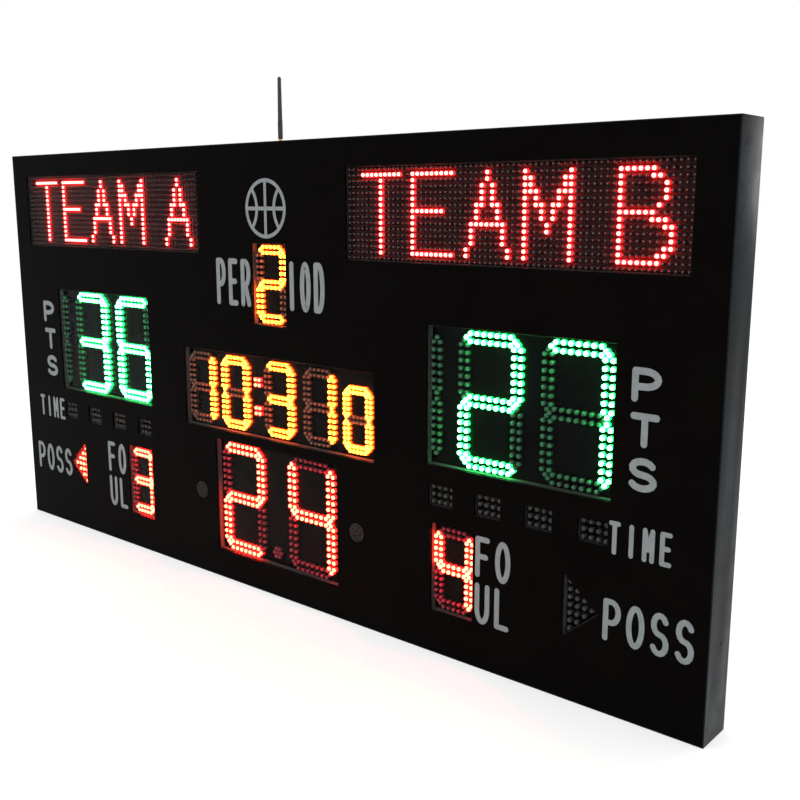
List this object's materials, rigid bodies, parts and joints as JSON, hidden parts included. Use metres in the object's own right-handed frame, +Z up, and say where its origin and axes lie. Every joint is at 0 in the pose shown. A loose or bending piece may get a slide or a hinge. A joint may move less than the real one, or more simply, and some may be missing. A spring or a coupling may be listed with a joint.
{
  "type": "electronic scoreboard",
  "caption": "Sports hall scoreboard: shallow black cabinet with glazed windows over rows of diodes, a hinged service door behind, a mains inlet with a rocker and a folding antenna.",
  "frame": {"origin": "middle of the cabinet's bottom face, at half its depth", "axes": "-Y out of the front towards the viewer, +X to the viewer's right, +Z up"},
  "size_m": [1.8, 0.0883, 1.004],
  "materials": {
    "frame_black": "satin black powder coat on aluminium",
    "front_sheet": "satin black sheet",
    "window_clear": "clear polished acrylic",
    "display_black": "gloss black board with rows of diodes",
    "zinc_steel": "zinc-plated sheet steel",
    "black_plastic": "moulded black plastic",
    "brass_nut": "plated brass",
    "circuit_board": "green solder mask"
  },
  "bodies": {
    "cabinet": {"frame_left": "frame_black", "frame_top": "frame_black", "frame_right": "frame_black", "frame_bottom": "frame_black", "corner_bracket_lower_left": "zinc_steel", "corner_bracket_upper_left": "zinc_steel", "corner_bracket_upper_right": "zinc_steel", "corner_bracket_lower_right": "zinc_steel", "face_panel": "front_sheet", "matrix_window_left": "window_clear", "matrix_window_right": "window_clear", "matrix_surround_left": "display_black", "matrix_surround_right": "display_black", "matrix_module_left_1": "display_black", "matrix_module_left_2": "display_black", "matrix_module_right_1": "display_black", "matrix_module_right_2": "display_black", "score_window_left": "window_clear", "score_window_right": "window_clear", "score_display_left": "display_black", "score_display_right": "display_black", "clock_window": "window_clear", "clock_display": "display_black", "period_window": "window_clear", "period_display": "display_black", "shot_clock_window": "window_clear", "shot_clock_display": "display_black", "foul_window_left": "window_clear", "foul_window_right": "window_clear", "foul_display_left": "display_black", "foul_display_right": "display_black", "timeout_window_left": "window_clear", "timeout_window_right": "window_clear", "timeout_display_left": "display_black", "timeout_display_right": "display_black", "possession_window_left": "window_clear", "possession_window_right": "window_clear", "possession_display_left": "display_black", "possession_display_right": "display_black", "buzzer_left": "black_plastic", "buzzer_right": "black_plastic", "mullion_left": "zinc_steel", "mullion_centre": "zinc_steel", "mullion_right": "zinc_steel", "rear_panel": "frame_black", "door_hinge_lower": "zinc_steel", "door_hinge_upper": "zinc_steel", "wall_hanger_left": "zinc_steel", "wall_hanger_right": "zinc_steel", "control_board": "circuit_board", "radio_receiver": "black_plastic", "power_supply": "zinc_steel", "mains_inlet": "black_plastic", "antenna_connector": "brass_nut"},
    "door": {"service_door": "frame_black"},
    "lock_lower": {"door_lock_lower": "zinc_steel"},
    "lock_upper": {"door_lock_upper": "zinc_steel"},
    "rocker": {"power_rocker": "black_plastic"},
    "swivel": {"antenna_swivel": "black_plastic"},
    "whip": {"antenna_whip": "black_plastic"}
  },
  "joints": [
    {"name": "door_open", "type": "hinge", "parent": "cabinet", "child": "door", "pos_m": [-0.314, 0.044, 0.443], "axis": [0, 0, 1], "range_deg": [0, 110]},
    {"name": "lock_lower_turn", "type": "hinge", "parent": "door", "child": "lock_lower", "pos_m": [0.25, 0.041, 0.313], "axis": [0, 1, 0], "range_deg": [0, 90]},
    {"name": "lock_upper_turn", "type": "hinge", "parent": "door", "child": "lock_upper", "pos_m": [0.25, 0.041, 0.573], "axis": [0, 1, 0], "range_deg": [0, 90]},
    {"name": "power_switch", "type": "hinge", "parent": "cabinet", "child": "rocker", "pos_m": [0.56, 0.0433, 0.135], "axis": [1, 0, 0], "range_deg": [-14, 0]},
    {"name": "antenna_turn", "type": "hinge", "parent": "cabinet", "child": "swivel", "pos_m": [0, 0, 0.9], "axis": [0, 0, 1], "continuous": true},
    {"name": "antenna_fold", "type": "hinge", "parent": "swivel", "child": "whip", "pos_m": [0, 0, 0.921], "axis": [-1, 0, 0], "range_deg": [0, 90]}
  ]
}
